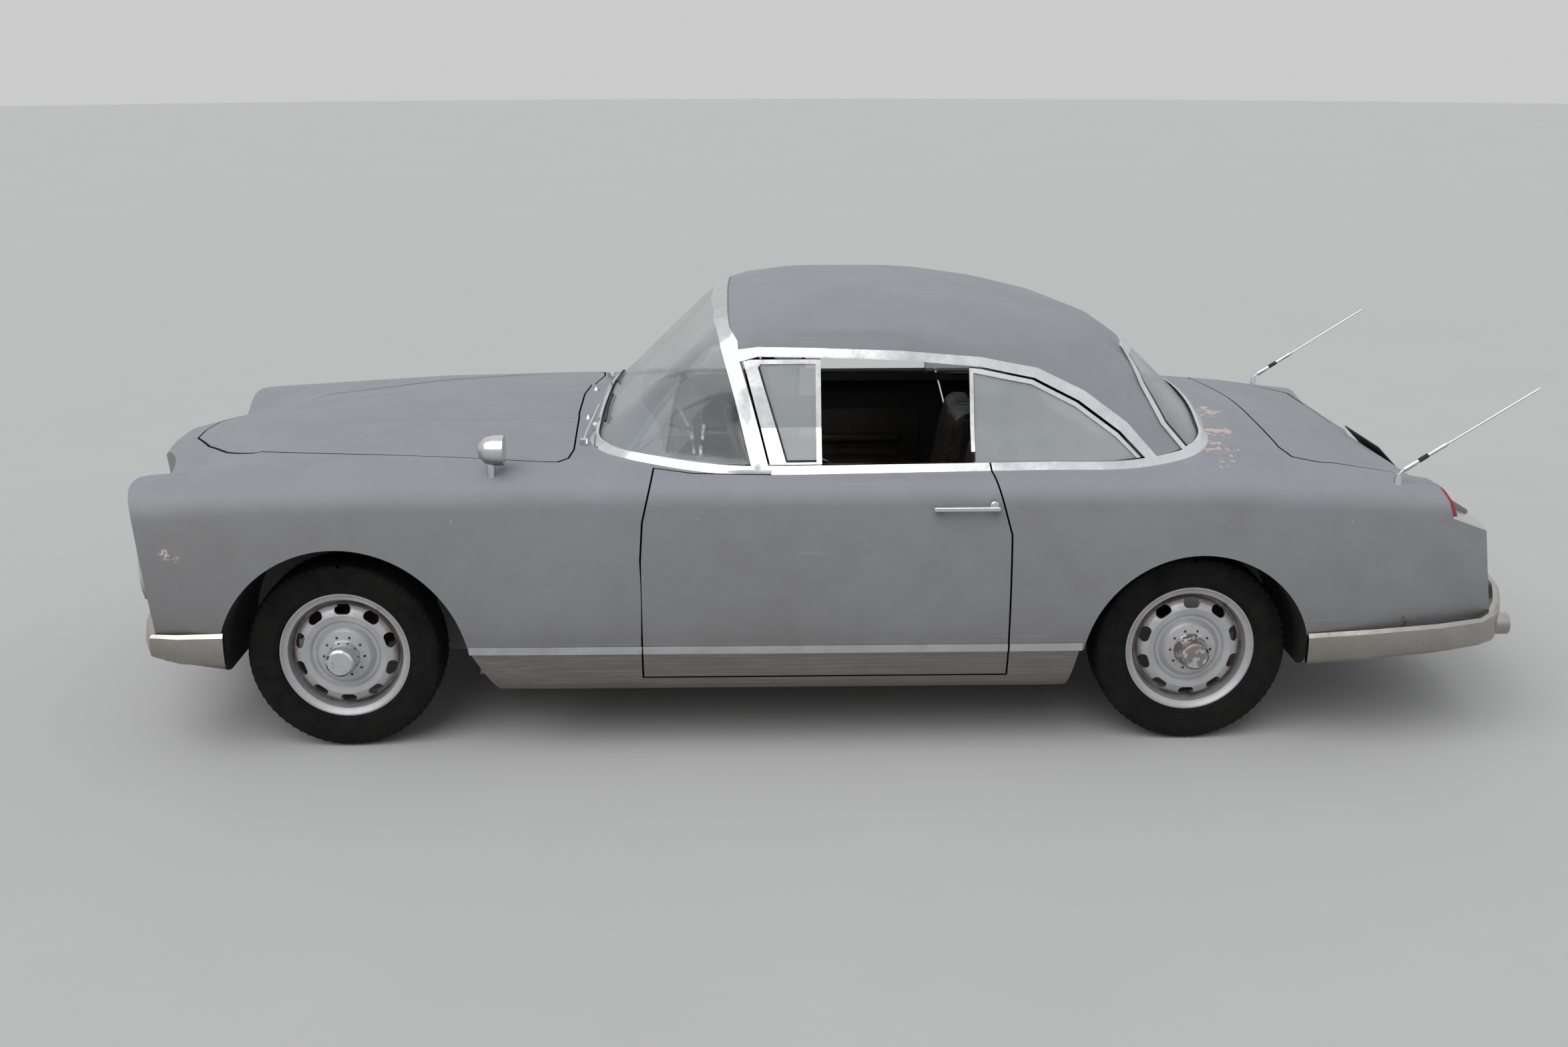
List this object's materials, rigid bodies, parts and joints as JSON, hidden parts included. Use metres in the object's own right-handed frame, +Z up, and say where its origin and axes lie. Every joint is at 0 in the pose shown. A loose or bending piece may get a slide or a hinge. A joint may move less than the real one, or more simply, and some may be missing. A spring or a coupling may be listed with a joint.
{
  "type": "hardtop coupe car",
  "caption": "Two-door late 1950s grand touring hardtop coupe in weathered grey primer, with steering, rolling wheels, opening doors, hood and boot lid.",
  "frame": {"origin": "on the ground under the middle of the car's overall box", "axes": "-X to the nose, -Y to the car's left side, +Z up; the tyres stand on z = 0"},
  "size_m": [4.57, 1.8198, 1.383],
  "materials": {
    "paint": "matt weathered grey primer",
    "glass": "clear, dusty",
    "chrome": "bright, pitted",
    "brushed_sill": "brushed, dirty at the foot",
    "lamp_glass": "clear lens",
    "tail_lens": "red lens",
    "black_plastic": "matt black",
    "black_steel": "black, rusty",
    "cast_block": "oily cast iron",
    "leather": "worn dark hide",
    "dash": "dark, dull",
    "wheel_silver": "silver paint, worn",
    "tyre": "worn black rubber"
  },
  "bodies": {
    "car": {"body_shell": "paint", "roof_and_pillars": "paint", "windshield": "glass", "rear_window": "glass", "quarter_glass": "glass", "window_mouldings": "chrome", "sill_strips": "chrome", "sill_panels": "brushed_sill", "front_bumper": "chrome", "rear_bumper": "chrome", "grille": "chrome", "lamp_bezels": "chrome", "headlamps": "lamp_glass", "tail_lamps": "tail_lens", "antennas": "chrome", "fender_mirror": "chrome", "wipers": "black_plastic", "front_frame": "black_steel", "rear_axle": "black_steel", "engine": "cast_block", "exhaust_pipes": "black_steel", "front_seats": "leather", "rear_seat": "leather", "dashboard": "dash"},
    "front_left_wheel": {"wheel_front_left": "wheel_silver", "tyre_front_left": "tyre"},
    "front_right_wheel": {"wheel_front_right": "wheel_silver", "tyre_front_right": "tyre"},
    "rear_left_wheel": {"wheel_rear_left": "wheel_silver", "tyre_rear_left": "tyre"},
    "rear_right_wheel": {"wheel_rear_right": "wheel_silver", "tyre_rear_right": "tyre"},
    "left_knuckle": {"knuckle_left": "black_steel"},
    "right_knuckle": {"knuckle_right": "black_steel"},
    "left_door": {"door_left": "paint", "door_brightwork_left": "chrome", "vent_glass_left": "glass"},
    "right_door": {"door_right": "paint", "door_brightwork_right": "chrome", "vent_glass_right": "glass"},
    "hood": {"hood": "paint"},
    "boot_lid": {"boot_lid": "paint", "plate_carrier": "black_plastic"},
    "steering_wheel": {"steering_wheel": "black_plastic"}
  },
  "joints": [
    {"name": "left_steer", "type": "hinge", "parent": "car", "child": "left_knuckle", "pos_m": [-1.495, -0.62, 0.305], "axis": [0, 0, 1], "range_deg": [-33, 33]},
    {"name": "right_steer", "type": "hinge", "parent": "car", "child": "right_knuckle", "pos_m": [-1.495, 0.62, 0.305], "axis": [0, 0, 1], "range_deg": [-33, 33]},
    {"name": "front_left_roll", "type": "hinge", "parent": "left_knuckle", "child": "front_left_wheel", "pos_m": [-1.495, -0.71, 0.305], "axis": [0, 1, 0], "continuous": true},
    {"name": "front_right_roll", "type": "hinge", "parent": "right_knuckle", "child": "front_right_wheel", "pos_m": [-1.495, 0.71, 0.305], "axis": [0, 1, 0], "continuous": true},
    {"name": "rear_left_roll", "type": "hinge", "parent": "car", "child": "rear_left_wheel", "pos_m": [1.165, -0.715, 0.305], "axis": [0, 1, 0], "continuous": true},
    {"name": "rear_right_roll", "type": "hinge", "parent": "car", "child": "rear_right_wheel", "pos_m": [1.165, 0.715, 0.305], "axis": [0, 1, 0], "continuous": true},
    {"name": "left_door_hinge", "type": "hinge", "parent": "car", "child": "left_door", "pos_m": [-0.553, -0.908, 0.55], "axis": [0, 0, -1], "range_deg": [0, 65]},
    {"name": "right_door_hinge", "type": "hinge", "parent": "car", "child": "right_door", "pos_m": [-0.553, 0.908, 0.55], "axis": [0, 0, 1], "range_deg": [0, 65]},
    {"name": "hood_hinge", "type": "hinge", "parent": "car", "child": "hood", "pos_m": [-0.789, 0, 0.984], "axis": [0, 1, 0], "range_deg": [0, 50]},
    {"name": "boot_hinge", "type": "hinge", "parent": "car", "child": "boot_lid", "pos_m": [1.475, 0, 0.968], "axis": [0, -1, 0], "range_deg": [0, 55]},
    {"name": "steering_turn", "type": "hinge", "parent": "car", "child": "steering_wheel", "pos_m": [-0.22, -0.37, 0.805], "axis": [0.9285, 0, 0.3714], "range_deg": [-560, 560]}
  ],
  "couplings": [
    {"joint": "right_steer", "follows": "left_steer", "ratio": 1},
    {"joint": "steering_turn", "follows": "left_steer", "ratio": 16}
  ]
}
